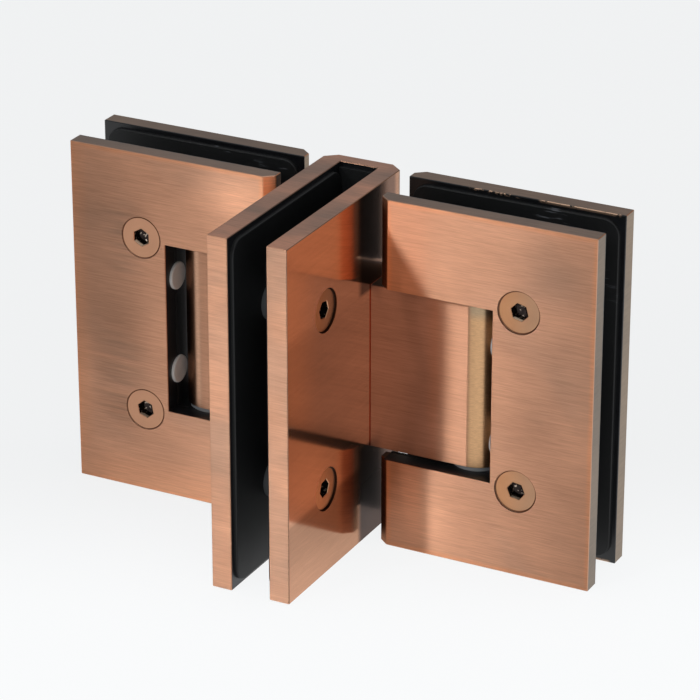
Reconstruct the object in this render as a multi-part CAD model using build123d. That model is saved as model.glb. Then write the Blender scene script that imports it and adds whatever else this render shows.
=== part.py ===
from build123d import *
import math
import os

# Three-way glass-to-glass door hinge, T plan.
#
# A U-shaped centre clamp grips the edge of a fixed glass panel that runs forward
# (towards -Y).  A knuckle block is bolted to each flank of the clamp, and a door leaf
# swings on a vertical pin in each knuckle.  Each leaf is a front plate and a rear plate
# that grip a glass door between rubber pads.
#
# Row frame, millimetres: +X to the right along the two leaves, +Y to the back, +Z up.
# The origin is at the centre of the hinge's bounding box in plan, on its resting plane.
# Everything is drawn in a working frame whose y = 0 is the plane of the two pivot pins
# and whose z = 0 is mid-height, and is moved into the row frame as it is written.

# ---------------------------------------------------------------- driving dimensions
HEIGHT = 90.0                 # clamp and leaves

# centre clamp
CLAMP_HALF_W = 10.35          # outer flank of each arm
CLAMP_ARM_T = 5.30            # arm thickness
CLAMP_FRONT_Y = -48.6         # front ends of the arms
CLAMP_BACK_Y = 11.0           # back of the bridge
CLAMP_SLOT_Y = 7.2            # bottom of the glass slot
CLAMP_CORNER_X = 3.0          # chamfer on the two back corners
CLAMP_CORNER_Y = 2.5
CLAMP_SCREW_Y = -29.5         # two clamp screws
CLAMP_SCREW_Z = 23.0

# knuckle blocks
PIN_X = 36.1                  # pivot axis
KNUCKLE_R = 7.0               # full-round end, and half the block's depth
KNUCKLE_HALF_H = 21.15
KNUCKLE_SCREW_Z = 16.5

# leaves
LEAF_X0 = 14.1                # end beside the clamp
LEAF_X1 = 70.0                # outer end
LEAF_HALF_T = 10.4            # outer face of each plate
PLATE_T = 4.6
LEAF_CORNER_X = 2.4           # bevel on the inner vertical edge of each plate
LEAF_CORNER_Y = 2.0
CUT_X = 43.9                  # cut-out round the knuckle
CUT_HALF_H = 22.25
LEAF_SCREW_X = 50.6
LEAF_SCREW_Z = 23.0

# pivot body, one piece with the rear plate
SPINE_X0 = 26.0               # end of its upper and lower blocks beside the clamp
SPINE_BLOCK_X1 = 45.3         # outer end of the blocks
SPINE_X1 = 49.6               # outer face of the web between the screws
SPINE_WEB_HALF_H = 17.2
SPINE_HALF_H = 36.0

# pivot pin
PIN_R = 4.0
PIN_BORE_R = 4.05             # running fit in the knuckle
PIN_SEAT_R = 4.01             # seat in the pivot body
PIN_HALF_L = 33.5
PIN_FLAT = 3.3                # distance of each flat from the axis
PIN_FLAT_HALF_H = 10.9

# washers beside the knuckle
WASHER_R = 6.4
WASHER_BORE_R = 4.06
WASHER_T = 0.9

# rubber pads
PAD_T = 0.9
PAD_INSET = 1.3
PAD_CORNER_R = 4.0

# M6 countersunk screws and their sleeves
SCREW_HEAD_R = 5.3
SCREW_SINK_R = 5.45           # mouth of the countersink
SCREW_SHANK_R = 2.95
SCREW_HOLE_R = 3.2            # clearance hole
SCREW_TAP_R = 3.0             # threaded hole
SOCKET_AF = 4.0               # across flats
SOCKET_DEPTH = 2.6
SOCKET_EDGE = 0.12            # broken edge round the socket
CLAMP_SCREW_SUNK = 0.6        # how far each head lies below its face
RIGHT_SCREW_SUNK = 0.4
LEFT_SCREW_SUNK = 0.1
SLEEVE_R = 4.7
SLEEVE_BORE_R = 3.2

# stop bumpers on the cut-out's wall
BUMPER_R = 3.5
BUMPER_T = 0.7
BUMPER_Z = 12.5
BUMPER_Y_LEFT = -5.1
BUMPER_Y_RIGHT = -6.4

# M5 knuckle screws
KSCREW_HEAD_R = 4.6
KSCREW_SINK_R = 4.7
KSCREW_SHANK_R = 2.45
KSCREW_HOLE_R = 2.7
KSCREW_TAP_R = 2.5
KSCREW_REACH = 22.0           # tip of the screw, from the clamp's mid-plane

# self-centring pressure block and its springs, in a pocket of the knuckle
POCKET_HALF_D = 4.0
POCKET_HALF_H = 10.6
BLOCK_BACK_X = 21.5
BLOCK_FRONT_GAP = 0.1         # beyond the pin's full radius
SPRING_R = 2.7                # to the wire's centre
SPRING_WIRE_R = 0.55
SPRING_Z = 5.3
SPRING_SEAT = 2.0

EDGE = 0.16                   # broken edges

PLAN_Y = -(CLAMP_FRONT_Y + CLAMP_BACK_Y) / 2.0
HALF_H = HEIGHT / 2.0
GRIP_HALF = LEAF_HALF_T - PLATE_T          # inner face of each leaf plate
ARM_IN = CLAMP_HALF_W - CLAMP_ARM_T        # inner face of each arm


# ---------------------------------------------------------------- helpers
def block(x0, x1, y0, y1, z0, z1):
    """Box between two corners."""
    return Pos((x0 + x1) / 2, (y0 + y1) / 2, (z0 + z1) / 2) * Box(x1 - x0, y1 - y0, z1 - z0)


def prism_z(points, z0, z1):
    """Polygon in plan, raised from z0 to z1."""
    face = make_face(Polyline(*[(x, y, z0) for x, y in points], close=True))
    return extrude(face, amount=z1 - z0, dir=(0, 0, 1))


def rod(axis, a, b, r, c1, c2):
    """Round bar along an axis from a to b.  c1, c2 are the other two coordinates."""
    length = b - a
    mid = (a + b) / 2
    if axis == "x":
        return Pos(mid, c1, c2) * Rot(0, 90, 0) * Cylinder(r, length)
    if axis == "y":
        return Pos(c1, mid, c2) * Rot(90, 0, 0) * Cylinder(r, length)
    return Pos(c1, c2, mid) * Cylinder(r, length)


def screw_at(head_r, sink_r, shank_r, af, depth, length, turn):
    """Countersunk hex-socket screw along -z, with the head's top at z = 0.

    The under-head cone lies on the 90 degree cone whose mouth radius is sink_r.
    turn is the angle of one corner of the socket from +x, in degrees."""
    lip = sink_r - head_r
    cone_h = head_r - shank_r
    bevel = 0.6 * lip
    profile = Polyline(
        (0, 0), (head_r - bevel, 0), (head_r, -bevel), (head_r, -lip),
        (shank_r, -lip - cone_h), (shank_r, -length + 0.6), (shank_r - 0.6, -length),
        (0, -length), close=True,
    )
    body = revolve(Plane.XZ * make_face(profile), Axis.Z)
    corner = af / math.sqrt(3)
    socket = extrude(Rot(0, 0, turn) * RegularPolygon(corner, 6), amount=-depth)
    tip = Pos(0, 0, -depth - 0.4) * Cone(0.0, af / 2 - 0.1, 0.8)
    body = body - socket - tip
    rim = [e for e in body.edges().filter_by(GeomType.LINE) if near(e.center().Z, 0) and near(e.length, corner)]
    return chamfer(rim, SOCKET_EDGE)


def sink_at(hole_r, sink_r, length, sunk=0.0):
    """Countersunk hole along -z, with its mouth at z = 0 and its cone starting at -sunk."""
    cone_h = sink_r - hole_r
    cut = Pos(0, 0, -length / 2) * Cylinder(hole_r, length)
    cut += Pos(0, 0, -sunk - cone_h / 2) * Cone(hole_r, sink_r, cone_h)
    cut += Pos(0, 0, (1.0 - sunk) / 2) * Cylinder(sink_r, 1.0 + sunk)
    return cut


def to_front(x, z):
    """Place a thing drawn along -z so that it goes in along +y at the leaf's front face."""
    return Pos(x, -LEAF_HALF_T, z) * Rot(90, 0, 0)


def to_right_flank(y, z):
    """Place a thing drawn along -z so that it goes in along -x at the right flank."""
    return Pos(CLAMP_HALF_W, y, z) * Rot(0, 90, 0)


def break_edges(shape, size, inner=()):
    """Chamfer every edge but the inside corners, given as tests on an edge's centre."""
    return chamfer([e for e in shape.edges() if not any(t(e.center()) for t in inner)], size)


def near(a, b):
    return abs(a - b) < 0.01


def group(shapes):
    return Compound([solid for s in shapes for solid in s.solids()])


def left_of(shape):
    """Mirror image across the clamp's mid-plane."""
    return mirror(shape, about=Plane.YZ)


# ---------------------------------------------------------------- centre clamp
def make_clamp():
    w, c = CLAMP_HALF_W, ARM_IN
    f, b, s = CLAMP_FRONT_Y, CLAMP_BACK_Y, CLAMP_SLOT_Y
    outline = [
        (-w, f), (-w, b - CLAMP_CORNER_Y), (-w + CLAMP_CORNER_X, b),
        (w - CLAMP_CORNER_X, b), (w, b - CLAMP_CORNER_Y), (w, f),
        (c, f), (c, s), (-c, s), (-c, f),
    ]
    body = break_edges(prism_z(outline, -HALF_H, HALF_H), EDGE,
                       [lambda p: near(abs(p.X), c) and near(p.Y, s)])
    for sz in (-1, 1):
        z = sz * CLAMP_SCREW_Z
        body -= to_right_flank(CLAMP_SCREW_Y, z) * sink_at(SCREW_HOLE_R, SCREW_SINK_R, CLAMP_ARM_T + 0.5, CLAMP_SCREW_SUNK)
        body -= rod("x", -c - 4.5, -c + 0.5, SCREW_TAP_R, CLAMP_SCREW_Y, z)
        zk = sz * KNUCKLE_SCREW_Z
        # knuckle screws go outwards from the slot, with their heads sunk in the slot's walls
        body -= Pos(c, 0, zk) * Rot(0, -90, 0) * sink_at(KSCREW_HOLE_R, KSCREW_SINK_R, CLAMP_ARM_T + 0.5)
        body -= Pos(-c, 0, zk) * Rot(0, 90, 0) * sink_at(KSCREW_HOLE_R, KSCREW_SINK_R, CLAMP_ARM_T + 0.5)
    return body


def make_clamp_pad():
    """Pad on the right arm's inner face."""
    y0, y1 = CLAMP_FRONT_Y + PAD_INSET, CLAMP_SLOT_Y - PAD_T - 0.1
    depth, high = y1 - y0, HEIGHT - 2 * PAD_INSET
    sheet = extrude(RectangleRounded(depth, high, PAD_CORNER_R), amount=PAD_T)
    sheet = fillet(sheet.edges().group_by(Axis.Z)[-1], 0.3)
    pad = Pos(ARM_IN, (y0 + y1) / 2, 0) * Rot(0, -90, 0) * Rot(0, 0, 90) * sheet
    for sz in (-1, 1):
        pad -= rod("x", ARM_IN - 2, ARM_IN + 1, SLEEVE_R + 0.15, CLAMP_SCREW_Y, sz * CLAMP_SCREW_Z)
    return pad


def make_clamp_strip():
    """Strip across the slot's bottom."""
    return block(-ARM_IN + 0.05, ARM_IN - 0.05, CLAMP_SLOT_Y - PAD_T, CLAMP_SLOT_Y, -HALF_H + PAD_INSET, HALF_H - PAD_INSET)


def make_clamp_screw(z, turn):
    length = CLAMP_HALF_W + ARM_IN + 4.0 - CLAMP_SCREW_SUNK
    screw = screw_at(SCREW_HEAD_R, SCREW_SINK_R, SCREW_SHANK_R, SOCKET_AF, SOCKET_DEPTH, length, turn)
    return to_right_flank(CLAMP_SCREW_Y, z) * Pos(0, 0, -CLAMP_SCREW_SUNK) * screw


def make_clamp_sleeve(z):
    return (rod("x", -ARM_IN, ARM_IN, SLEEVE_R, CLAMP_SCREW_Y, z)
            - rod("x", -ARM_IN - 1, ARM_IN + 1, SLEEVE_BORE_R, CLAMP_SCREW_Y, z))


# ---------------------------------------------------------------- knuckle and what it holds
def make_knuckle():
    r, h = KNUCKLE_R, KNUCKLE_HALF_H
    body = block(CLAMP_HALF_W, PIN_X, -r, r, -h, h)
    body += Pos(PIN_X, 0, 0) * Cylinder(r, 2 * h)
    rims = [e for e in body.edges() if abs(abs(e.center().Z) - h) < 1e-6 and e.center().X > CLAMP_HALF_W + 0.1]
    body = chamfer(rims, EDGE)
    joint = [e for e in body.edges().filter_by(Axis.Z) if near(e.center().X, CLAMP_HALF_W)]
    body = chamfer(joint, 0.2)
    body -= Pos(PIN_X, 0, 0) * Cylinder(PIN_BORE_R, 2 * h + 2)
    body -= block(CLAMP_HALF_W - 1, PIN_X - 1.0, -POCKET_HALF_D, POCKET_HALF_D, -POCKET_HALF_H, POCKET_HALF_H)
    for sz in (-1, 1):
        body -= rod("x", CLAMP_HALF_W - 1, KSCREW_REACH + 1.0, KSCREW_TAP_R, 0, sz * KNUCKLE_SCREW_Z)
    return body


def make_knuckle_screw(sz):
    length = KSCREW_REACH - ARM_IN
    screw = screw_at(KSCREW_HEAD_R, KSCREW_SINK_R, KSCREW_SHANK_R, 3.0, 2.0, length, 0)
    return Pos(ARM_IN, 0, sz * KNUCKLE_SCREW_Z) * Rot(0, -90, 0) * screw


def make_pressure_block():
    x1 = PIN_X - PIN_R - BLOCK_FRONT_GAP
    body = block(BLOCK_BACK_X, x1, -POCKET_HALF_D + 0.06, POCKET_HALF_D - 0.06, -POCKET_HALF_H + 0.1, POCKET_HALF_H - 0.1)
    body = chamfer(body.edges().filter_by(Axis.Z), 0.4)
    for sz in (-1, 1):
        body -= rod("x", BLOCK_BACK_X - 1, BLOCK_BACK_X + SPRING_SEAT, SPRING_R + SPRING_WIRE_R + 0.1, 0, sz * SPRING_Z)
    return body


def make_spring(sz):
    x0, x1 = CLAMP_HALF_W + 0.05 + SPRING_WIRE_R, BLOCK_BACK_X + SPRING_SEAT - 0.05 - SPRING_WIRE_R
    turns = 6
    coil = Helix(pitch=(x1 - x0) / turns, height=x1 - x0, radius=SPRING_R)
    start = Plane(origin=coil @ 0, z_dir=coil % 0)
    wire = sweep(start * Circle(SPRING_WIRE_R), path=coil, is_frenet=True)
    return Pos(x0, 0, sz * SPRING_Z) * Rot(0, 90, 0) * wire


# ---------------------------------------------------------------- one leaf, drawn on the right
def plate_outline(y_out, y_in):
    """A leaf plate between its outer face and its inner face, with the cut-out."""
    y0, y1 = min(y_out, y_in), max(y_out, y_in)
    body = block(LEAF_X0, LEAF_X1, y0, y1, -HALF_H, HALF_H)
    back = y_out + math.copysign(LEAF_CORNER_Y, y_in - y_out)
    body -= prism_z([(LEAF_X0 - 1, y_out - math.copysign(1, y_in - y_out)),
                     (LEAF_X0 + LEAF_CORNER_X + LEAF_CORNER_X / LEAF_CORNER_Y, y_out - math.copysign(1, y_in - y_out)),
                     (LEAF_X0 + LEAF_CORNER_X, y_out), (LEAF_X0, back),
                     (LEAF_X0 - 1, back + math.copysign(LEAF_CORNER_Y / LEAF_CORNER_X, y_in - y_out))],
                    -HALF_H - 1, HALF_H + 1)
    body -= block(LEAF_X0 - 1, CUT_X, y0 - 1, y1 + 1, -CUT_HALF_H, CUT_HALF_H)
    return body


def inside_cut_corner(p):
    return near(p.X, CUT_X) and near(abs(p.Z), CUT_HALF_H)


def make_front_plate(sunk):
    body = break_edges(plate_outline(-LEAF_HALF_T, -GRIP_HALF), EDGE, [inside_cut_corner])
    for sz in (-1, 1):
        body -= to_front(LEAF_SCREW_X, sz * LEAF_SCREW_Z) * sink_at(SCREW_HOLE_R, SCREW_SINK_R, PLATE_T + 0.5, sunk)
    return body


def make_rear_plate():
    body = break_edges(plate_outline(LEAF_HALF_T, GRIP_HALF), EDGE, [inside_cut_corner])
    y0, y1 = -GRIP_HALF + PAD_T, GRIP_HALF + 0.5
    spine = block(SPINE_X0, SPINE_BLOCK_X1, y0, y1, -SPINE_HALF_H, SPINE_HALF_H)
    spine = fillet([e for e in spine.edges().filter_by(Axis.Y)], 3.0)
    spine += block(CUT_X - 0.5, SPINE_X1, y0, y1, -SPINE_WEB_HALF_H, SPINE_WEB_HALF_H)
    spine -= block(SPINE_X0 - 1, CUT_X, y0 - 1, y1 + 1, -CUT_HALF_H, CUT_HALF_H)
    body += spine
    # the pin goes in from below: a through bore in the lower block, a blind one in the upper
    body -= rod("z", -SPINE_HALF_H - 1, PIN_HALF_L + 0.3, PIN_SEAT_R, PIN_X, 0)
    for sz in (-1, 1):
        body -= rod("y", GRIP_HALF - 1, GRIP_HALF + 3.9, SCREW_TAP_R, LEAF_SCREW_X, sz * LEAF_SCREW_Z)
    return body


def pad_sheet():
    wide, high = LEAF_X1 - LEAF_X0 - 2 * PAD_INSET, HEIGHT - 2 * PAD_INSET
    sheet = extrude(RectangleRounded(wide, high, PAD_CORNER_R), amount=PAD_T)
    return fillet(sheet.edges().group_by(Axis.Z)[-1], 0.3)


def pad_holes():
    cut = None
    for sz in (-1, 1):
        one = rod("y", -20, 20, SLEEVE_R + 0.15, LEAF_SCREW_X, sz * LEAF_SCREW_Z)
        cut = one if cut is None else cut + one
    return cut


def make_front_pad():
    """Pad on the front plate.  It runs on between the plate and the pivot body."""
    pad = Pos((LEAF_X0 + LEAF_X1) / 2, -GRIP_HALF, 0) * Rot(-90, 0, 0) * pad_sheet()
    pad -= block(0, CUT_X, -20, 20, -CUT_HALF_H, CUT_HALF_H)
    return pad - pad_holes()


def make_rear_pad():
    """Pad on the rear plate, round the pivot body."""
    pad = Pos((LEAF_X0 + LEAF_X1) / 2, GRIP_HALF, 0) * Rot(90, 0, 0) * pad_sheet()
    pad -= block(0, CUT_X + 0.2, -20, 20, -CUT_HALF_H, CUT_HALF_H)
    gap = 0.2
    pad -= block(SPINE_X0 - gap, SPINE_BLOCK_X1 + gap, -20, 20, -SPINE_HALF_H - gap, SPINE_HALF_H + gap)
    pad -= block(CUT_X - 1, SPINE_X1 + gap, -20, 20, -SPINE_WEB_HALF_H - gap, SPINE_WEB_HALF_H + gap)
    return pad - pad_holes()


def make_pin():
    """Round pin with three flats where the pressure block bears: closed, and 90 degrees each way."""
    body = Pos(PIN_X, 0, 0) * Cylinder(PIN_R, 2 * PIN_HALF_L)
    body = chamfer(body.edges(), 0.5)
    h = PIN_FLAT_HALF_H
    body -= block(PIN_X - 6, PIN_X - PIN_FLAT, -6, 6, -h, h)
    body -= block(PIN_X - 6, PIN_X + 6, PIN_FLAT, 6, -h, h)
    body -= block(PIN_X - 6, PIN_X + 6, -6, -PIN_FLAT, -h, h)
    return body


def make_washer(sz):
    z0 = CUT_HALF_H - WASHER_T
    ring = Cylinder(WASHER_R, WASHER_T) - Cylinder(WASHER_BORE_R, WASHER_T + 1)
    return Pos(PIN_X, 0, sz * (z0 + WASHER_T / 2)) * ring


def make_leaf_screw(x, z, turn, sunk):
    length = 2 * LEAF_HALF_T - PLATE_T + 3.6 - sunk
    screw = screw_at(SCREW_HEAD_R, SCREW_SINK_R, SCREW_SHANK_R, SOCKET_AF, SOCKET_DEPTH, length, turn)
    return to_front(x, z) * Pos(0, 0, -sunk) * screw


def make_leaf_sleeve(sz):
    x, z = LEAF_SCREW_X, sz * LEAF_SCREW_Z
    return rod("y", -GRIP_HALF, GRIP_HALF, SLEEVE_R, x, z) - rod("y", -GRIP_HALF - 1, GRIP_HALF + 1, SLEEVE_BORE_R, x, z)


def make_bumper(y, sz):
    disc = Cylinder(BUMPER_R, BUMPER_T)
    disc = fillet(disc.edges().group_by(Axis.Z)[-1], 0.4)
    return Pos(CUT_X - BUMPER_T / 2, y, sz * BUMPER_Z) * Rot(0, -90, 0) * disc


# ---------------------------------------------------------------- the pieces
parts = {}

parts["centre_clamp_body"] = make_clamp()
right_pad = make_clamp_pad()
parts["centre_right_gasket"] = right_pad
parts["centre_left_gasket"] = left_of(right_pad)
parts["centre_slot_strip"] = make_clamp_strip()
parts["centre_clamp_screws"] = group([make_clamp_screw(CLAMP_SCREW_Z, 20), make_clamp_screw(-CLAMP_SCREW_Z, 38)])
parts["centre_screw_sleeves"] = group([make_clamp_sleeve(CLAMP_SCREW_Z), make_clamp_sleeve(-CLAMP_SCREW_Z)])

knuckle = make_knuckle()
kscrews = [make_knuckle_screw(1), make_knuckle_screw(-1)]
pressure = make_pressure_block()
springs = [make_spring(1), make_spring(-1)]
parts["right_knuckle"] = knuckle
parts["left_knuckle"] = left_of(knuckle)
parts["right_knuckle_screws"] = group(kscrews)
parts["left_knuckle_screws"] = group([left_of(s) for s in kscrews])
parts["right_pressure_block"] = pressure
parts["left_pressure_block"] = left_of(pressure)
parts["right_pressure_springs"] = group(springs)
parts["left_pressure_springs"] = group([left_of(s) for s in springs])

rear_plate = make_rear_plate()
front_pad, rear_pad = make_front_pad(), make_rear_pad()
pin = make_pin()
upper_washer, lower_washer = make_washer(1), make_washer(-1)
sleeves = [make_leaf_sleeve(1), make_leaf_sleeve(-1)]
for side, flip, sunk in (("right", False, RIGHT_SCREW_SUNK), ("left", True, LEFT_SCREW_SUNK)):
    def put(name, shape):
        parts[side + "_" + name] = left_of(shape) if flip else shape
    put("front_plate", make_front_plate(sunk))
    put("rear_plate", rear_plate)
    put("front_gasket", front_pad)
    put("rear_gasket", rear_pad)
    put("pivot_pin", pin)
    put("upper_washer", upper_washer)
    put("lower_washer", lower_washer)
    parts[side + "_screw_sleeves"] = group([left_of(s) if flip else s for s in sleeves])

parts["right_leaf_screws"] = group([
    make_leaf_screw(LEAF_SCREW_X, LEAF_SCREW_Z, 45, RIGHT_SCREW_SUNK),
    make_leaf_screw(LEAF_SCREW_X, -LEAF_SCREW_Z, 52, RIGHT_SCREW_SUNK),
])
parts["left_leaf_screws"] = group([
    make_leaf_screw(-LEAF_SCREW_X, LEAF_SCREW_Z, 30, LEFT_SCREW_SUNK),
    make_leaf_screw(-LEAF_SCREW_X, -LEAF_SCREW_Z, 40, LEFT_SCREW_SUNK),
])
parts["right_stop_bumpers"] = group([make_bumper(BUMPER_Y_RIGHT, 1), make_bumper(BUMPER_Y_RIGHT, -1)])
parts["left_stop_bumpers"] = group([left_of(make_bumper(BUMPER_Y_LEFT, 1)), left_of(make_bumper(BUMPER_Y_LEFT, -1))])

# ---------------------------------------------------------------- written one STEP per piece
os.makedirs("parts", exist_ok=True)
for name, shape in parts.items():
    solids = [Pos(0, PLAN_Y, HALF_H) * solid for solid in shape.solids()]
    export_step(solids[0] if len(solids) == 1 else Compound(solids), "parts/" + name + ".step")
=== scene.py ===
import bpy
import math
from mathutils import Vector, Matrix

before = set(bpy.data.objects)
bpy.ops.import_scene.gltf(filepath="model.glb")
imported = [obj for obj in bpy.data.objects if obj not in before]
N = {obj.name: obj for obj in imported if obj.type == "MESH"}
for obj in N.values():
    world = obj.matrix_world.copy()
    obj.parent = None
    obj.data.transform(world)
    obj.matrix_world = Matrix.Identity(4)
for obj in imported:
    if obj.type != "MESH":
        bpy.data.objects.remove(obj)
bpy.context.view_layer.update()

# ------------------------------------------------------------------ frame numbers, metres
MM = 0.001
PLAN_Y = 0.0188               # row Y of the pins' plane
HALF_H = 0.045
CUT_X, CUT_HH = 0.0439, 0.02225
LEAF_HT, PLATE_T = 0.0104, 0.0046
LEAF_X0, LEAF_X1 = 0.0141, 0.070
LEAF_CX = 0.0024
CLAMP_W, CLAMP_IN = 0.01035, 0.00505
PIN_X = 0.0361
SCREW_X, SCREW_Z = 0.0506, 0.023
CL_SCREW_Y = -0.0295


def srgb(r, g, b):
    """8-bit sRGB to linear."""
    out = []
    for v in (r, g, b):
        v /= 255.0
        out.append(v / 12.92 if v <= 0.04045 else ((v + 0.055) / 1.055) ** 2.4)
    return (*out, 1.0)


# ------------------------------------------------------------------ node helpers
class G:
    """A thin wrapper round one material's node tree."""

    def __init__(self, name):
        m = bpy.data.materials.new(name)
        m.use_nodes = True
        self.m, self.t = m, m.node_tree
        self.t.nodes.clear()
        self.out = self.t.nodes.new("ShaderNodeOutputMaterial")
        self.tc = self.t.nodes.new("ShaderNodeTexCoord")
        sep = self.t.nodes.new("ShaderNodeSeparateXYZ")
        self.link(self.tc.outputs["Object"], sep.inputs[0])
        self.x, self.y, self.z = sep.outputs
        sn = self.t.nodes.new("ShaderNodeSeparateXYZ")
        self.link(self.tc.outputs["Normal"], sn.inputs[0])
        self.nx, self.ny, self.nz = sn.outputs

    def link(self, a, b):
        self.t.links.new(a, b)

    def put(self, sock, v):
        if isinstance(v, (int, float)):
            sock.default_value = v
        elif isinstance(v, tuple):
            sock.default_value = v if len(sock.default_value) == len(v) else v[:len(sock.default_value)]
        else:
            self.link(v, sock)

    def math(self, op, a, b=None, c=None, clamp=False):
        n = self.t.nodes.new("ShaderNodeMath")
        n.operation = op
        n.use_clamp = clamp
        self.put(n.inputs[0], a)
        if b is not None:
            self.put(n.inputs[1], b)
        if c is not None:
            self.put(n.inputs[2], c)
        return n.outputs[0]

    def add(self, a, b): return self.math("ADD", a, b)
    def sub(self, a, b): return self.math("SUBTRACT", a, b)
    def mul(self, a, b): return self.math("MULTIPLY", a, b)
    def abs(self, a): return self.math("ABSOLUTE", a)
    def mn(self, a, b): return self.math("MINIMUM", a, b)
    def mx(self, a, b): return self.math("MAXIMUM", a, b)

    def step(self, v, lo, hi, smooth=True):
        """0 below lo, 1 above hi."""
        n = self.t.nodes.new("ShaderNodeMapRange")
        n.interpolation_type = "SMOOTHSTEP" if smooth else "LINEAR"
        self.put(n.inputs["Value"], v)
        n.inputs["From Min"].default_value = lo
        n.inputs["From Max"].default_value = hi
        n.inputs["To Min"].default_value = 0.0
        n.inputs["To Max"].default_value = 1.0
        return n.outputs["Result"]

    def vec(self, x, y, z):
        n = self.t.nodes.new("ShaderNodeCombineXYZ")
        for s, v in zip(n.inputs, (x, y, z)):
            self.put(s, v)
        return n.outputs[0]

    def noise(self, v, scale=1.0, detail=2.0, rough=0.5, distort=0.0):
        n = self.t.nodes.new("ShaderNodeTexNoise")
        n.noise_dimensions = "3D"
        self.link(v, n.inputs["Vector"])
        n.inputs["Scale"].default_value = scale
        n.inputs["Detail"].default_value = detail
        n.inputs["Roughness"].default_value = rough
        n.inputs["Distortion"].default_value = distort
        return n.outputs["Fac"]

    def mix(self, f, a, b, kind="MIX"):
        n = self.t.nodes.new("ShaderNodeMix")
        n.data_type = "RGBA"
        n.blend_type = kind
        n.clamp_factor = True
        self.put(n.inputs[0], f)
        self.put(n.inputs[6], a)
        self.put(n.inputs[7], b)
        return n.outputs[2]

    def mixf(self, f, a, b):
        n = self.t.nodes.new("ShaderNodeMix")
        n.data_type = "FLOAT"
        self.put(n.inputs[0], f)
        self.put(n.inputs[2], a)
        self.put(n.inputs[3], b)
        return n.outputs[0]

    def ramp(self, f, stops):
        n = self.t.nodes.new("ShaderNodeValToRGB")
        self.put(n.inputs[0], f)
        e = n.color_ramp.elements
        while len(e) > 1:
            e.remove(e[-1])
        e[0].position, e[0].color = stops[0]
        for p, c in stops[1:]:
            k = e.new(p)
            k.color = c
        return n.outputs[0]

    def bump(self, h, strength, dist):
        n = self.t.nodes.new("ShaderNodeBump")
        n.inputs["Strength"].default_value = strength
        n.inputs["Distance"].default_value = dist
        self.link(h, n.inputs["Height"])
        return n.outputs[0]

    def bsdf(self, color, rough, metallic=0.0, normal=None, aniso=None, rot=0.25, tangent=True, **kw):
        b = self.t.nodes.new("ShaderNodeBsdfPrincipled")
        self.put(b.inputs["Base Color"], color)
        self.put(b.inputs["Roughness"], rough)
        self.put(b.inputs["Metallic"], metallic)
        if normal is not None:
            self.link(normal, b.inputs["Normal"])
        if aniso is not None:
            b.inputs["Anisotropic"].default_value = aniso
            b.inputs["Anisotropic Rotation"].default_value = rot
            if tangent:
                tn = self.t.nodes.new("ShaderNodeTangent")
                tn.direction_type = "RADIAL"
                tn.axis = "Z"
                self.link(tn.outputs[0], b.inputs["Tangent"])
        for k, v in kw.items():
            b.inputs[k.replace("_", " ")].default_value = v
        return b.outputs[0]

    def gloss(self, color, along, across, normal=None, turn=0.0):
        """Brushed metal with level marks; along and across are the slopes' spreads to each side of the marks."""
        cr = self.t.nodes.new("ShaderNodeVectorMath")
        cr.operation = "CROSS_PRODUCT"
        cr.inputs[0].default_value = (0.0, 0.0, 1.0)
        self.link(self.geo(), cr.inputs[1])
        b = self.t.nodes.new("ShaderNodeBsdfAnisotropic")
        b.distribution = "GGX"
        self.put(b.inputs["Color"], color)
        b.inputs["Roughness"].default_value = math.sqrt(math.sqrt(along * across))
        k = math.sqrt(along / across)
        b.inputs["Anisotropy"].default_value = 1.0 - k if k < 1.0 else 1.0 / k - 1.0
        if turn:
            # the marks' slopes lean a little to one side
            vr = self.t.nodes.new("ShaderNodeVectorRotate")
            vr.rotation_type = "Z_AXIS"
            self.link(self.geo(), vr.inputs["Vector"])
            vr.inputs["Angle"].default_value = math.radians(turn)
            normal = vr.outputs[0]
        if normal is not None:
            self.link(normal, b.inputs["Normal"])
        self.link(cr.outputs[0], b.inputs["Tangent"])
        return b.outputs[0]

    def geo(self):
        return self.t.nodes.new("ShaderNodeNewGeometry").outputs["Normal"]

    def scale(self, col, f):
        """A colour times a number."""
        n = self.t.nodes.new("ShaderNodeVectorMath")
        n.operation = "SCALE"
        self.put(n.inputs[0], col)
        self.put(n.inputs["Scale"], f)
        return n.outputs[0]

    def spot(self, u, v, cu, cv, ru, rv, soft=0.0):
        """1 in the middle of an ellipse, fading to 0 at its edge."""
        du = self.mul(self.sub(u, cu), 1.0 / ru)
        dv = self.mul(self.sub(v, cv), 1.0 / rv)
        q = self.math("SQRT", self.add(self.mul(du, du), self.mul(dv, dv)))
        return self.step(q, 1.0, soft)

    def cloud(self, k, off=0.0, detail=2.0, distort=0.0):
        return self.noise(self.vec(self.add(self.mul(self.x, k), off), self.mul(self.y, k), self.mul(self.z, k)), 1.0, detail, 0.5, distort)

    def mixs(self, f, a, b):
        n = self.t.nodes.new("ShaderNodeMixShader")
        self.put(n.inputs[0], f)
        self.link(a, n.inputs[1])
        self.link(b, n.inputs[2])
        return n.outputs[0]

    def done(self, shader):
        self.link(shader, self.out.inputs["Surface"])
        return self.m


def coat(obj, mat):
    obj.data.materials.clear()
    obj.data.materials.append(mat)


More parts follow.
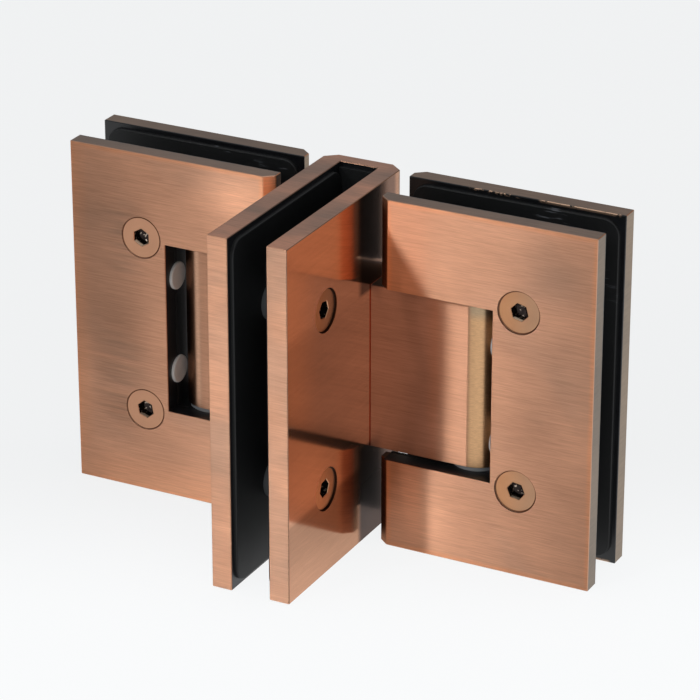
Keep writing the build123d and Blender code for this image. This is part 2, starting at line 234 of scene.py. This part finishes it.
# ------------------------------------------------------------------ brushed antique copper
def brushed(g, seed):
    """(fine, long, broad, cloud): brush marks level on upright faces and along X on level ones, and slow blotches."""
    flat = g.step(g.abs(g.nz), 0.6, 0.8)

    def marks(along, across, off):
        up_v = g.vec(g.mul(g.x, along), g.mul(g.y, along), g.add(g.mul(g.z, across), seed + off))
        fl_v = g.vec(g.mul(g.x, along), g.mul(g.y, across), g.add(g.mul(g.z, along), seed + off))
        m = g.t.nodes.new("ShaderNodeMix")
        m.data_type = "VECTOR"
        g.link(flat, m.inputs[0])
        g.link(up_v, m.inputs[4])
        g.link(fl_v, m.inputs[5])
        return m.outputs[1]
    fine = g.noise(marks(170.0, 5200.0, 0.0), 1.0, 2.0, 0.6)
    lng = g.noise(marks(34.0, 2600.0, 5.0), 1.0, 1.0, 0.5)
    broad = g.noise(marks(45.0, 90.0, 9.0), 1.0, 3.0, 0.55, 0.4)
    cloud = g.noise(marks(30.0, 40.0, 13.0), 1.0, 2.0, 0.5, 0.6)
    return fine, lng, broad, cloud


LEAN = 0.9
COPPER = (0.53, 0.268, 0.164, 1.0)
GREY = (0.34, 0.205, 0.142, 1.0)


def copper(name, seed, base=COPPER, tone=None, faces=(), black=None, rim=None, spread=(0.014, 0.75), soft=0.16, streak=1.0, flank=None):
    """Brushed copper.  tone(g) gives (brightness, greyness) over the face; each entry of faces is
    (mask(g), light, dark, roughness, mottle) for the faces with another finish or with painted shade; black(g) the
    masks of paint and of its chips."""
    g = G(name)
    fine, lng, broad, cloud = brushed(g, seed)
    k = g.add(g.mul(g.sub(fine, 0.5), 0.60 * streak), g.mul(g.sub(lng, 0.5), 0.16 * streak))
    k = g.add(g.add(k, g.mul(g.sub(broad, 0.5), 0.35)), 1.0)
    grey = g.step(cloud, 0.42, 0.72)
    warm = None
    if tone is not None:
        bright, dull, warm = tone(g)
        k = g.mul(k, bright)
        grey = g.math("ADD", g.mul(grey, 0.35), dull, clamp=True)
    else:
        grey = g.mul(grey, 0.35)
    col = g.mix(grey, base, GREY)
    if warm is not None:
        col = g.mix(g.mul(warm, 0.55), col, (0.66, 0.27, 0.13, 1.0))
    col = g.scale(col, k)
    nrm = g.bump(g.add(g.mul(fine, 0.6), g.mul(lng, 0.4)), 0.10, 0.00001)
    sh = g.mixs(soft, g.gloss(col, spread[0], spread[1], turn=LEAN), g.bsdf(col, 0.44, 1.0, nrm))
    if flank is not None:
        mask, along, across, fcol, fsoft = flank(g)
        fc = g.scale(fcol, g.add(g.mul(g.sub(k, 1.0), 0.5), 1.0))
        sh = g.mixs(mask, sh, g.mixs(fsoft, g.gloss(fc, along, across), g.bsdf(fc, 0.40, 1.0)))
    for mask, light, dark, rough, mottle in faces:
        f = g.math("ADD", g.add(g.mul(g.sub(cloud, 0.5), 3.0 * mottle), g.mul(g.sub(broad, 0.5), 1.3 * mottle)), 0.5, clamp=True)
        c = g.scale(g.mix(f, light, dark), g.add(g.mul(g.sub(fine, 0.5), 0.9), 1.0))
        sh = g.mixs(mask(g), sh, g.bsdf(c, rough, 1.0) if rough < 0.5 else g.bsdf(c, rough, 0.0, Specular_IOR_Level=0.12))
    if rim is not None:
        m, rc = rim(g)
        sh = g.mixs(m, sh, g.bsdf(rc, 0.40, 1.0))
    if black is not None:
        m, chip = black(g)
        n = g.cloud(300.0, 0.0, 3.0)
        ink = g.mix(n, srgb(8, 9, 11), srgb(24, 25, 28))
        paint = g.bsdf(ink, 0.32, 0.0, g.bump(g.cloud(900.0), 0.2, 0.00004))
        sh = g.mixs(m, sh, paint)
        if chip is not None:
            sh = g.mixs(chip, sh, g.bsdf((0.85, 0.56, 0.38, 1.0), 0.45, 0.7))
    return g.done(sh)


def level(g): return g.step(g.abs(g.nz), 0.80, 0.92)
def endwise(g): return g.step(g.abs(g.nx), 0.93, 0.99)


def leaf_black(side, rear):
    """Black paint on the inner face of a leaf plate and in its cut-out."""

    def mask(g):
        n = g.cloud(420.0)
        n2 = g.noise(g.vec(g.mul(g.x, 900.0), g.mul(g.y, 700.0), g.mul(g.z, 900.0)), 1.0, 3.0, 0.65)
        wob = g.add(g.mul(g.sub(n, 0.5), 0.0005), g.mul(g.sub(n2, 0.5), 0.0004))
        yy = g.sub(g.y, PLAN_Y)                       # working frame
        ax = g.abs(g.x)
        az = g.abs(g.sub(g.z, HALF_H))
        chip = None
        edge = LEAF_HT - PLATE_T
        if rear:
            inner = g.step(g.add(yy, g.mul(wob, 0.5)), edge + 0.00032, edge + 0.00022)
            if side == "right":
                # the paint is worn through to bright copper along the inner top edge
                at = g.mx(g.mul(g.mul(g.step(ax, 0.0295, 0.0310), g.step(ax, 0.0435, 0.0420)), g.step(n2, 0.50, 0.60)), g.mul(g.step(ax, 0.0475, 0.0490), g.step(ax, 0.0690, 0.0680)))
                chip_y = g.mul(g.step(yy, edge - 0.00005, edge + 0.00006), g.step(g.add(yy, g.mul(wob, 0.6)), edge + 0.00030, edge + 0.00016))
                chip = g.mul(g.mul(g.mul(at, chip_y), g.step(n2, 0.34, 0.44)), g.mul(g.step(az, HALF_H - 0.0008, HALF_H - 0.0003), 0.9))
        else:
            inner = g.step(g.add(yy, wob), -edge - 0.0005, -edge - 0.0002)
        # the cut-out's walls: faces turned towards the hole, and not the plates' outer faces
        off_face = g.step(g.abs(g.ny), 0.75, 0.6)
        in_cut = g.mul(g.step(ax, CUT_X + 0.0003, CUT_X + 0.0001), g.step(az, CUT_HH + 0.0003, CUT_HH + 0.0001))
        far_in = g.step(g.add(ax, wob), LEAF_X0 + 0.0012, LEAF_X0 + 0.0016)
        if rear:
            wall_y = g.step(g.add(yy, wob), LEAF_HT - 0.0004, LEAF_HT - 0.0008)
        else:
            wall_y = g.step(g.add(yy, g.mul(wob, 0.3)), -LEAF_HT + 0.0001, -LEAF_HT + 0.00022)
        wall = g.mul(g.mul(off_face, in_cut), g.mul(far_in, wall_y))
        return g.mx(inner, wall), chip
    return mask


def leaf_rim(g):
    """Worn line along the outer edges of a plate's outer face, partly a painted highlight."""
    bev = g.mul(g.step(g.abs(g.ny), 0.99, 0.93), g.step(g.abs(g.ny), 0.40, 0.55))
    az = g.abs(g.sub(g.z, HALF_H))
    ax = g.abs(g.x)
    near = g.mx(g.step(az, HALF_H - 0.0004, HALF_H - 0.0001), g.step(ax, LEAF_X1 - 0.0004, LEAF_X1 - 0.0001))
    return g.mul(bev, near), (0.60, 0.34, 0.23, 1.0)


def edge_wear_and_sheen(g):
    """The warm band along a leaf's outer and bottom edges, partly worn copper and partly painted highlight."""
    ax = g.abs(g.x)
    e = g.mn(g.sub(LEAF_X1, ax), g.mn(g.sub(ax, LEAF_X0 + LEAF_CX), g.sub(HALF_H, g.abs(g.sub(g.z, HALF_H)))))
    e = g.add(e, g.mul(g.sub(g.cloud(150.0), 0.5), 0.0012))
    return g.step(e, 0.0016, 0.0003)


def sum_spots(g, spots):
    """1 plus soft ellipses: (x, z, radius x, radius z, amount), x towards the outer end."""
    b, ax = 1.0, g.abs(g.x)
    for cx, cz, rx, rz, amount in spots:
        b = g.add(g.mul(g.spot(ax, g.z, cx, cz, rx, rz), amount), b)
    return b


# brightness spots over the leaf: partly tarnish, partly painted highlight and shade following how the light falls
def right_tone(g):
    b = sum_spots(g, ((0.060, 0.056, 0.016, 0.036, -0.04), (0.054, 0.036, 0.011, 0.016, -0.13), (0.063, 0.081, 0.015, 0.015, -0.12),
                      (0.068, 0.046, 0.009, 0.028, 0.08), (0.024, 0.012, 0.014, 0.018, 0.34), (0.030, 0.074, 0.016, 0.014, 0.03)))
    d = g.mul(g.spot(g.x, g.z, 0.060, 0.078, 0.014, 0.012), 0.5)
    return b, g.add(d, g.mul(g.spot(g.x, g.z, 0.060, 0.054, 0.014, 0.034), 0.15)), edge_wear_and_sheen(g)


# brightness spots over the leaf: partly tarnish, partly painted highlight and shade following how the light falls; the
# grey smudges are tarnish
def left_tone(g):
    b = sum_spots(g, ((0.0515, 0.072, 0.008, 0.008, -0.16), (0.0555, 0.046, 0.010, 0.014, -0.20), (0.057, 0.0205, 0.011, 0.007, -0.16),
                      (0.0455, 0.0095, 0.014, 0.010, -0.12), (0.025, 0.083, 0.016, 0.012, 0.45), (0.0667, 0.030, 0.005, 0.012, 0.12),
                      (0.064, 0.056, 0.011, 0.036, -0.13), (0.045, 0.045, 0.060, 0.070, -0.06), (0.040, 0.014, 0.034, 0.014, -0.10)))
    # painted highlight along the inner bevel
    b = g.add(b, g.mul(g.step(g.abs(g.x), LEAF_X0 + LEAF_CX + 0.00005, LEAF_X0 + LEAF_CX - 0.00005), 0.4))
    n = g.noise(g.vec(g.mul(g.x, 38.0), g.mul(g.y, 38.0), g.mul(g.z, 700.0)), 1.0, 3.0, 0.6)
    smudge = g.mul(g.mx(g.spot(g.x, g.z, -0.058, 0.028, 0.012, 0.022), g.spot(g.x, g.z, -0.056, 0.066, 0.010, 0.018)), g.step(n, 0.22, 0.78))
    b = g.mul(b, g.add(g.mul(smudge, -0.20), 1.0))
    foot = g.mx(g.mul(g.step(g.z, 0.013, 0.001), 0.5), g.mul(g.step(g.abs(g.x), LEAF_X1 - 0.0055, LEAF_X1), 0.6))
    d = g.mx(g.mul(g.spot(g.x, g.z, -0.060, 0.060, 0.014, 0.034), 0.2), g.mul(smudge, 0.75))
    return b, d, g.mx(edge_wear_and_sheen(g), foot)


front_faces = ((level, (0.31, 0.205, 0.15, 1.0), (0.215, 0.15, 0.115, 1.0), 0.32, 0.8),
               (endwise, (0.21, 0.155, 0.11, 1.0), (0.15, 0.115, 0.085, 1.0), 0.30, 0.8))
rear_faces = ((level, (0.31, 0.20, 0.14, 1.0), (0.215, 0.145, 0.105, 1.0), 0.32, 0.9),
              (endwise, (0.27, 0.19, 0.125, 1.0), (0.20, 0.15, 0.105, 1.0), 0.30, 0.8))
for side in ("right", "left"):
    sd = 3.1 if side == "right" else 11.7
    tone = right_tone if side == "right" else left_tone
    front = copper(side + "_front_copper", sd, tone=tone, faces=front_faces, black=leaf_black(side, False), rim=leaf_rim)
    rear = copper(side + "_rear_copper", sd + 40.0, tone=tone, faces=rear_faces, black=leaf_black(side, True), rim=leaf_rim)
    coat(N[side + "_front_plate"], front)
    coat(N[side + "_rear_plate"], rear)


def clamp_black(g):
    ax = g.abs(g.x)
    off_top = g.step(g.abs(g.nz), 0.8, 0.6)
    off_front = g.step(g.abs(g.ny), 0.8, 0.6)
    side_walls = g.mul(g.mul(g.step(ax, CLAMP_IN + 0.00008, CLAMP_IN + 0.00002), off_front), off_top)
    floor_wall = g.mul(g.mul(g.step(ax, CLAMP_IN + 0.0003, CLAMP_IN + 0.0001), g.step(g.y, PLAN_Y + 0.0075, PLAN_Y + 0.0073)), g.mul(off_top, g.step(g.y, PLAN_Y - 0.0485, PLAN_Y - 0.048)))
    return g.mx(side_walls, floor_wall), None


def behind(g): return g.mul(g.step(g.abs(g.nx), 0.60, 0.70), g.step(g.y, PLAN_Y + 0.0060, PLAN_Y + 0.0090))


def painted_flank_shade(g):
    """Painted dark reflection on the flanks behind the leaves' front plates: darker metal standing in for the reflected
    dark gap.
    """
    m = g.mul(g.step(g.abs(g.nx), 0.90, 0.98), g.step(g.abs(g.x), CLAMP_IN + 0.001, CLAMP_IN + 0.003))
    m = g.mul(m, g.step(g.abs(g.sub(g.z, HALF_H)), 0.0192, 0.0206))
    return g.mul(g.mul(m, 0.85), g.mul(g.step(g.y, PLAN_Y - 0.0140, PLAN_Y - 0.0109), g.step(g.y, PLAN_Y + 0.0090, PLAN_Y + 0.0050)))


# painted shade: the flank patch made darker still towards the bottom
def painted_foot_shade(g): return g.mul(g.mul(painted_flank_shade(g), 0.80), g.step(g.z, 0.024, 0.006))


def painted_pit_shade(g):
    """The straight walls over the sunk screw heads, painted near-black as shade in the recess."""
    r = None
    for cz in (HALF_H + SCREW_Z, HALF_H - SCREW_Z):
        du, dv = g.sub(g.y, PLAN_Y + CL_SCREW_Y), g.sub(g.z, cz)
        q = g.math("SQRT", g.add(g.mul(du, du), g.mul(dv, dv)))
        r = q if r is None else g.mn(r, q)
    return g.mul(g.step(r, 0.00570, 0.00555), g.step(g.abs(g.x), CLAMP_W - 0.00004, CLAMP_W - 0.00012))


def arm_flank(g):
    """The clamp's outer flanks are polished along the marks, with painted reflection bands."""
    m = g.mul(g.step(g.abs(g.nx), 0.90, 0.98), g.step(g.abs(g.x), CLAMP_IN + 0.001, CLAMP_IN + 0.003))
    # painted reflections and shade: brighter and darker bands by height, darker low at the front, brighter in a middle
    # band at the front
    k = 1.26
    for lo, hi, amount in ((0.064, 0.069, 0.42), (0.031, 0.026, 0.04), (0.0215, 0.0190, -0.52), (0.016, 0.001, 0.28)):
        k = g.add(g.mul(g.step(g.z, lo, hi), amount), k)
    k = g.mul(k, g.add(g.mul(g.mul(g.step(g.z, 0.022, 0.018), g.step(g.y, PLAN_Y - 0.048, PLAN_Y - 0.020)), -0.16), 1.0))
    mid = g.mul(g.step(g.z, 0.026, 0.031), g.step(g.z, 0.069, 0.064))
    k = g.mul(k, g.add(g.mul(g.mul(mid, g.step(g.y, PLAN_Y - 0.036, PLAN_Y - 0.012)), 0.18), 1.0))
    return m, 0.025, 0.004, g.scale((0.572, 0.312, 0.200, 1.0), k), 0.11


def clamp_tone(g):
    n = g.noise(g.vec(g.mul(g.x, 60.0), g.mul(g.y, 60.0), g.mul(g.z, 1100.0)), 1.0, 3.0, 0.6)
    w = g.noise(g.vec(g.mul(g.x, 40.0), g.mul(g.y, 40.0), g.mul(g.z, 55.0)), 1.0, 2.0, 0.5)
    # painted highlight: the left arm lighter towards its top and slightly darker low down
    b = g.mul(g.add(g.mul(g.sub(n, 0.5), 0.35), 1.03), g.add(g.mul(g.step(g.x, 0.002, -0.002), g.mixf(g.step(g.z, 0.055, 0.025), 0.17, -0.04)), 1.05))
    return b, g.math("ADD", g.mul(g.step(w, 0.40, 0.62), 0.45), 0.10, clamp=True), None


# the last three face entries below are painted shade on the flanks and in the screw recesses
clamp_mat = copper("clamp_copper", 23.0, tone=clamp_tone, streak=1.0, flank=arm_flank, black=clamp_black,
                   faces=((level, (0.70, 0.335, 0.21, 1.0), (0.36, 0.21, 0.15, 1.0), 0.30, 1.1),
                          (behind, (0.23, 0.15, 0.10, 1.0), (0.165, 0.118, 0.083, 1.0), 0.30, 0.9),
                          (painted_flank_shade, (0.085, 0.036, 0.023, 1.0), (0.05, 0.024, 0.017, 1.0), 0.24, 0.9),
                          (painted_foot_shade, (0.035, 0.016, 0.011, 1.0), (0.022, 0.011, 0.009, 1.0), 0.34, 0.6),
                          (painted_pit_shade, (0.05, 0.022, 0.014, 1.0), (0.03, 0.015, 0.01, 1.0), 0.36, 0.5)))
coat(N["centre_clamp_body"], clamp_mat)


def knuckle_mat(side):
    """Brushed flat, polished round end, and the thin dark joint against the clamp; the flat carries painted shade near
    the clamp and the left round end a painted dark reflection.
    """
    g = G(side + "_knuckle_copper")
    fine, lng, broad, cloud = brushed(g, 61.0 if side == "right" else 77.0)
    k = g.add(g.add(g.mul(g.sub(fine, 0.5), 0.6), g.mul(g.sub(lng, 0.5), 0.3)), g.add(g.mul(g.sub(broad, 0.5), 0.3), 1.0))
    # painted shade: the flat darker and greyer towards the clamp
    out = g.step(g.abs(g.x), 0.024, 0.031)
    k = g.mul(k, g.mixf(out, 0.82, 1.0))
    col = g.scale(g.mix(out, (0.455, 0.270, 0.205, 1.0), COPPER), k)
    flat = g.mixs(0.16, g.gloss(col, 0.014, 0.75, turn=0.1), g.bsdf(col, 0.42, 1.0))
    top = g.step(g.z, HALF_H + 0.0165, HALF_H + 0.0195)
    rc = (0.64, 0.375, 0.195, 1.0) if side == "right" else (0.64, 0.36, 0.235, 1.0)
    kr = g.add(g.mul(g.sub(g.noise(g.vec(g.mul(g.x, 900.0), g.mul(g.y, 900.0), g.mul(g.z, 4200.0)), 1.0, 2.0, 0.6), 0.5), 0.55), 1.0)
    # painted dark reflection: the left knuckle's round end darkened towards its outer side
    rnd = g.scale(g.mix(g.mul(top, 0.6 if side == "right" else 0.0), rc, (0.32, 0.28, 0.20, 1.0)), g.mul(kr, g.mixf(g.step(g.abs(g.x), PIN_X + (0.0026 if side == "right" else 0.0008), PIN_X + (0.0062 if side == "right" else 0.0042)), 1.0, 1.0 if side == "right" else 0.45)))
    pol = g.mixs(0.2, g.gloss(rnd, 0.06, 0.30), g.bsdf(rnd, 0.32, 1.0))
    sh = g.mixs(g.step(g.abs(g.x), PIN_X - 0.0004, PIN_X + 0.0012), flat, pol)
    sh = g.mixs(level(g), sh, g.bsdf(g.mix(cloud, (0.30, 0.20, 0.14, 1.0), (0.20, 0.15, 0.11, 1.0)), 0.34, 1.0))
    sh = g.mixs(g.step(g.abs(g.x), CLAMP_W + 0.00026, CLAMP_W + 0.00014), sh, g.bsdf((0.36, 0.09, 0.04, 1.0), 0.5, 0.5))
    return g.done(sh)


for side in ("right", "left"):
    coat(N[side + "_knuckle"], knuckle_mat(side))


# ------------------------------------------------------------------ screws: turned heads, sockets painted dark as shade with painted glints
def screw_mat(name, along, centres, sunk, glint=1.0, gain=1.0, yellow=True, head_r=0.0053):
    """Turned rings round each screw's own axis; along is the axis the screws lie on. The heads carry painted light from
    side to side, and the sockets painted shade with painted glints.
    """
    g = G(name)
    if along == "y":
        u, v = g.x, g.z
        depth = g.sub(g.y, PLAN_Y - LEAF_HT + sunk)
    else:
        u, v = g.y, g.z
        depth = g.sub(CLAMP_W - sunk, g.x)
    best, du_, dv_ = None, None, None
    for cu, cv in centres:
        du, dv = g.sub(u, cu), g.sub(v, cv)
        r = g.math("SQRT", g.add(g.mul(du, du), g.mul(dv, dv)))
        best = r if best is None else g.mn(best, r)
    rings = g.noise(g.vec(g.mul(best, 5200.0), 0.0, 0.0), 1.0, 2.0, 0.6)
    blot = g.cloud(260.0)
    f = g.math("ADD", g.add(g.mul(g.sub(rings, 0.5), 0.9), g.mul(g.sub(blot, 0.5), 1.2)), 0.5, clamp=True)
    col = g.mix(f, (0.56, 0.29, 0.16, 1.0), (0.42, 0.21, 0.115, 1.0))
    # painted light: each head darker and greyer on its left side, brighter and yellower on its right
    lit_side = g.step(g.sub(u, centres[0][0]), 0.0045, -0.0045)
    col = g.mix(lit_side, g.mix(0.45, col, (0.40, 0.26, 0.17, 1.0)), g.mix(0.45, col, (0.64, 0.30, 0.135, 1.0))) if yellow else g.mix(0.6, col, (0.50, 0.265, 0.17, 1.0))
    col = g.scale(col, gain)
    face = g.mixs(0.5, g.gloss(col, 0.10, 0.30), g.bsdf(col, 0.36, 1.0, g.bump(rings, 0.2, 0.00002)))
    rim = g.step(best, head_r - 0.00030, head_r - 0.00010)
    sh = g.mixs(rim, face, g.bsdf((0.10, 0.035, 0.018, 1.0), 0.35, 1.0))
    # painted shade: the socket painted near-black, with random painted glints on its facets
    inside = g.step(best, 0.00250, 0.00245)
    sock = g.mul(inside, g.step(depth, 0.00010, 0.00016))
    # painted highlight: the walls facing up, near the mouth, painted bright cream
    up = g.mul(g.step(g.nz, 0.35, 0.6), g.step(g.add(depth, g.mul(g.sub(blot, 0.5), 0.0008)), 0.00115, 0.00085))
    up = g.mul(up, g.mul(g.mixf(g.step(g.z, HALF_H - 0.001, HALF_H + 0.001), 0.35, 1.0), glint))
    facet = g.noise(g.vec(g.mul(g.x, 1400.0), g.mul(g.y, 1400.0), g.mul(g.z, 1400.0)), 1.0, 1.0, 0.5)
    dark = g.bsdf(g.mix(g.step(facet, 0.60, 0.68), (0.030, 0.022, 0.020, 1.0), (0.50, 0.40, 0.32, 1.0)), 0.28, 0.9)
    sh = g.mixs(sock, sh, dark)
    sh = g.mixs(g.mul(sock, up), sh, g.bsdf(g.mix(facet, (1.0, 0.84, 0.64, 1.0), (1.0, 0.72, 0.50, 1.0)), 0.50, 0.0))
    # painted glint: a bright streak in the upper screw's socket
    if along == "y":
        line = g.mul(g.step(g.sub(u, centres[0][0]), 0.00125, 0.0014), g.step(g.sub(u, centres[0][0]), 0.00185, 0.0017))
        line = g.mul(g.mul(line, sock), g.step(g.abs(g.sub(g.z, HALF_H + SCREW_Z + 0.0001)), 0.0011, 0.0009))
        sh = g.mixs(line, sh, g.bsdf(g.mix(facet, (1.0, 0.80, 0.78, 1.0), (0.9, 0.62, 0.60, 1.0)), 0.5, 0.0))
    return g.done(sh)


Z1, Z2 = HALF_H + SCREW_Z, HALF_H - SCREW_Z
coat(N["right_leaf_screws"], screw_mat("right_screws", "y", [(SCREW_X, Z1), (SCREW_X, Z2)], 0.0004))
coat(N["left_leaf_screws"], screw_mat("left_screws", "y", [(-SCREW_X, Z1), (-SCREW_X, Z2)], 0.0001, yellow=False))
coat(N["centre_clamp_screws"], screw_mat("clamp_screws", "x", [(PLAN_Y + CL_SCREW_Y, Z1), (PLAN_Y + CL_SCREW_Y, Z2)], 0.0006, 0.0, 1.5))


FILL = 0.9
KEY, KEY_IN, KEY_OUT, OVERHEAD = 23.0, 0.012, 0.078, 1.4
FLOOR_NEAR, FLOOR_FAR = 0.905, 0.822
# ------------------------------------------------------------------ rubber, sleeves, bumpers, nylon, steel
def rubber(name, a, b, dusty):
    g = G(name)
    n1 = g.noise(g.vec(g.mul(g.x, 700.0), g.mul(g.y, 700.0), g.mul(g.z, 700.0)), 1.0, 3.0, 0.6)
    n2 = g.noise(g.vec(g.mul(g.x, 60.0), g.mul(g.y, 60.0), g.mul(g.z, 60.0)), 1.0, 2.0, 0.5)
    col = g.mix(g.add(g.mul(n1, 0.5), g.mul(n2, 0.5)), a, b)
    # thin dusty smears, mostly near the top
    long_ = g.noise(g.vec(g.mul(g.x, 180.0), g.mul(g.y, 180.0), g.mul(g.z, 1500.0)), 1.0, 2.0, 0.6)
    dust = g.mul(g.mul(g.step(long_, 0.60, 0.70), g.step(n2, 0.50, 0.58)), g.step(g.z, 0.060, 0.088))
    col = g.mix(g.mul(dust, 0.7 if dusty else 0.0), col, srgb(112, 114, 120))
    return g.done(g.bsdf(col, g.add(g.mul(n2, 0.15), 0.48), 0.0, g.bump(n1, 0.25, 0.00005), Specular_IOR_Level=0.35))


rub = rubber("gasket_rubber", srgb(11, 12, 13), srgb(23, 24, 25), False)
dusty = rubber("dusty_gasket_rubber", srgb(13, 14, 15), srgb(26, 27, 28), True)
for n in ("centre_right_gasket", "centre_left_gasket", "centre_slot_strip"):
    coat(N[n], rub)
for n in ("right_front_gasket", "right_rear_gasket", "left_front_gasket", "left_rear_gasket"):
    coat(N[n], dusty)


def plastic(name, a, b, rough, trans=0.0, ior=1.45, scale=200.0):
    g = G(name)
    n1 = g.noise(g.vec(g.mul(g.x, scale), g.mul(g.y, scale), g.mul(g.z, scale)), 1.0, 2.0, 0.5)
    return g.done(g.bsdf(g.mix(n1, a, b), g.add(g.mul(n1, 0.12), rough), 0.0, g.bump(n1, 0.1, 0.00005), IOR=ior, Transmission_Weight=trans))


sleeve = plastic("clear_sleeve", srgb(120, 122, 124), srgb(90, 92, 94), 0.30, 0.35)
bumper = plastic("grey_bumper", srgb(205, 205, 203), srgb(172, 172, 170), 0.45, 0.0)
nylon = plastic("nylon_washer", srgb(150, 152, 154), srgb(120, 122, 124), 0.4)
for n in ("centre_screw_sleeves", "right_screw_sleeves", "left_screw_sleeves"):
    coat(N[n], sleeve)
for n in ("right_stop_bumpers", "left_stop_bumpers"):
    coat(N[n], bumper)
for n in ("right_upper_washer", "right_lower_washer", "left_upper_washer", "left_lower_washer", "right_pressure_block", "left_pressure_block"):
    coat(N[n], nylon)


def steel(name):
    g = G(name)
    n1 = g.noise(g.vec(g.mul(g.x, 60.0), g.mul(g.y, 60.0), g.mul(g.z, 2500.0)), 1.0, 2.0, 0.5)
    return g.done(g.bsdf(g.mix(n1, (0.55, 0.55, 0.56, 1.0), (0.35, 0.35, 0.36, 1.0)), g.add(g.mul(n1, 0.1), 0.25), 1.0, g.bump(n1, 0.1, 0.00003)))


st = steel("turned_steel")
for s in ("right", "left"):
    for n in ("_pivot_pin", "_knuckle_screws", "_pressure_springs"):
        coat(N[s + n], st)

# ------------------------------------------------------------------ floor, light and camera
g = G("floor_white")
fn = g.noise(g.vec(g.mul(g.x, 3.0), g.mul(g.y, 3.0), 0.0), 1.0, 2.0, 0.5)
FAZ = math.radians(27.33)
sdist = g.add(g.mul(g.x, -math.sin(FAZ)), g.mul(g.sub(g.y, PLAN_Y), math.cos(FAZ)))   # distance away from the front
# painted light: the floor glows by its own emission, brighter near the front than far back, over a dim diffuse part
lit = g.mixf(g.step(sdist, -0.060, 0.040), FLOOR_NEAR, FLOOR_FAR)
lit = g.add(lit, g.mul(g.sub(fn, 0.5), 0.004))
em = g.t.nodes.new("ShaderNodeEmission")
em.inputs["Color"].default_value = (0.985, 0.995, 1.0, 1.0)
g.link(lit, em.inputs["Strength"])
ad = g.t.nodes.new("ShaderNodeAddShader")
g.link(g.bsdf(g.mix(fn, (0.095, 0.097, 0.10, 1.0), (0.105, 0.107, 0.11, 1.0)), 0.8, 0.0, Specular_IOR_Level=0.0), ad.inputs[0])
g.link(em.outputs[0], ad.inputs[1])
floor_mat = g.done(ad.outputs[0])
mesh = bpy.data.meshes.new("floor")
S = 3.0
mesh.from_pydata([(-S, -S, 0), (S, -S, 0), (S, S, 0), (-S, S, 0)], [], [(0, 1, 2, 3)])
floor = bpy.data.objects.new("floor", mesh)
floor.location = (0, 0, -0.0002)
mesh.materials.append(floor_mat)
bpy.context.scene.collection.objects.link(floor)


world = bpy.data.worlds.new("studio")
bpy.context.scene.world = world
world.use_nodes = True
wt = world.node_tree
wt.nodes.clear()
wo = wt.nodes.new("ShaderNodeOutputWorld")
bg = wt.nodes.new("ShaderNodeBackground")
tc = wt.nodes.new("ShaderNodeTexCoord")


def wmath(op, a, b=None):
    n = wt.nodes.new("ShaderNodeMath")
    n.operation = op
    for k, v in ((0, a), (1, b)):
        if v is None:
            continue
        if isinstance(v, (int, float)):
            n.inputs[k].default_value = v
        else:
            wt.links.new(v, n.inputs[k])
    return n.outputs[0]


def dot(direction):
    n = wt.nodes.new("ShaderNodeVectorMath")
    n.operation = "DOT_PRODUCT"
    wt.links.new(tc.outputs["Generated"], n.inputs[0])
    n.inputs[1].default_value = direction
    return n.outputs["Value"]


def ease(v, lo, hi, top=1.0):
    """0 below lo, top above hi (lo may be the larger)."""
    m = wt.nodes.new("ShaderNodeMapRange")
    m.interpolation_type = "SMOOTHSTEP"
    wt.links.new(v, m.inputs["Value"])
    m.inputs["From Min"].default_value = lo
    m.inputs["From Max"].default_value = hi
    m.inputs["To Min"].default_value = 0.0
    m.inputs["To Max"].default_value = top
    return m.outputs["Result"]


# a dim room, a bright strip box at the front left and a soft one overhead
up_ = dot((0.0, 0.0, 1.0))
room = wmath("ADD", wmath("ADD", 0.33, dot((-0.03, 0.10, 0.0))), 0.0)
side_ = wmath("ABSOLUTE", wmath("ADD", dot((1.0, 0.0, 0.0)), 0.391))
strip = wmath("MULTIPLY", ease(side_, KEY_OUT, KEY_IN), ease(dot((-0.462, -0.887, 0.0)), 0.05, 0.12))
strip = wmath("MULTIPLY", strip, wmath("MULTIPLY", ease(up_, 0.37, 0.43), ease(up_, 0.58, 0.52)))
total = wmath("ADD", room, wmath("MULTIPLY", strip, KEY))
total = wmath("ADD", total, ease(up_, 0.89, 0.95, OVERHEAD))
total = wmath("ADD", total, ease(dot((0.45, -0.85, 0.27)), 0.80, 0.98, FILL))
bg.inputs[0].default_value = (0.97, 0.985, 1.0, 1.0)
wt.links.new(total, bg.inputs[1])
wt.links.new(bg.outputs[0], wo.inputs[0])

AZ, EL, TX, TY, DIST, FPX = math.radians(27.330), math.radians(23.869), 1.153, -0.612, 853.185, 3519.05
back = Vector((math.sin(AZ) * math.cos(EL), -math.cos(AZ) * math.cos(EL), math.sin(EL)))
fwd = -back
rgt = fwd.cross(Vector((0, 0, 1))).normalized()
up = rgt.cross(fwd).normalized()
C = (back * DIST + rgt * TX + up * TY) * MM + Vector((0, PLAN_Y, HALF_H))
cam_data = bpy.data.cameras.new("camera")
cam_data.sensor_width = 36.0
cam_data.sensor_fit = "HORIZONTAL"
cam_data.lens = FPX / 700.0 * 36.0
cam_data.clip_start = 0.05
cam_data.clip_end = 20.0
cam = bpy.data.objects.new("camera", cam_data)
rot = Matrix((rgt, up, back)).transposed().to_4x4()
cam.matrix_world = Matrix.Translation(C) @ rot
bpy.context.scene.collection.objects.link(cam)
bpy.context.scene.camera = cam

vs = bpy.context.scene.view_settings
vs.view_transform = "Standard"
vs.look = "None"
vs.exposure = 0.0
vs.gamma = 1.0
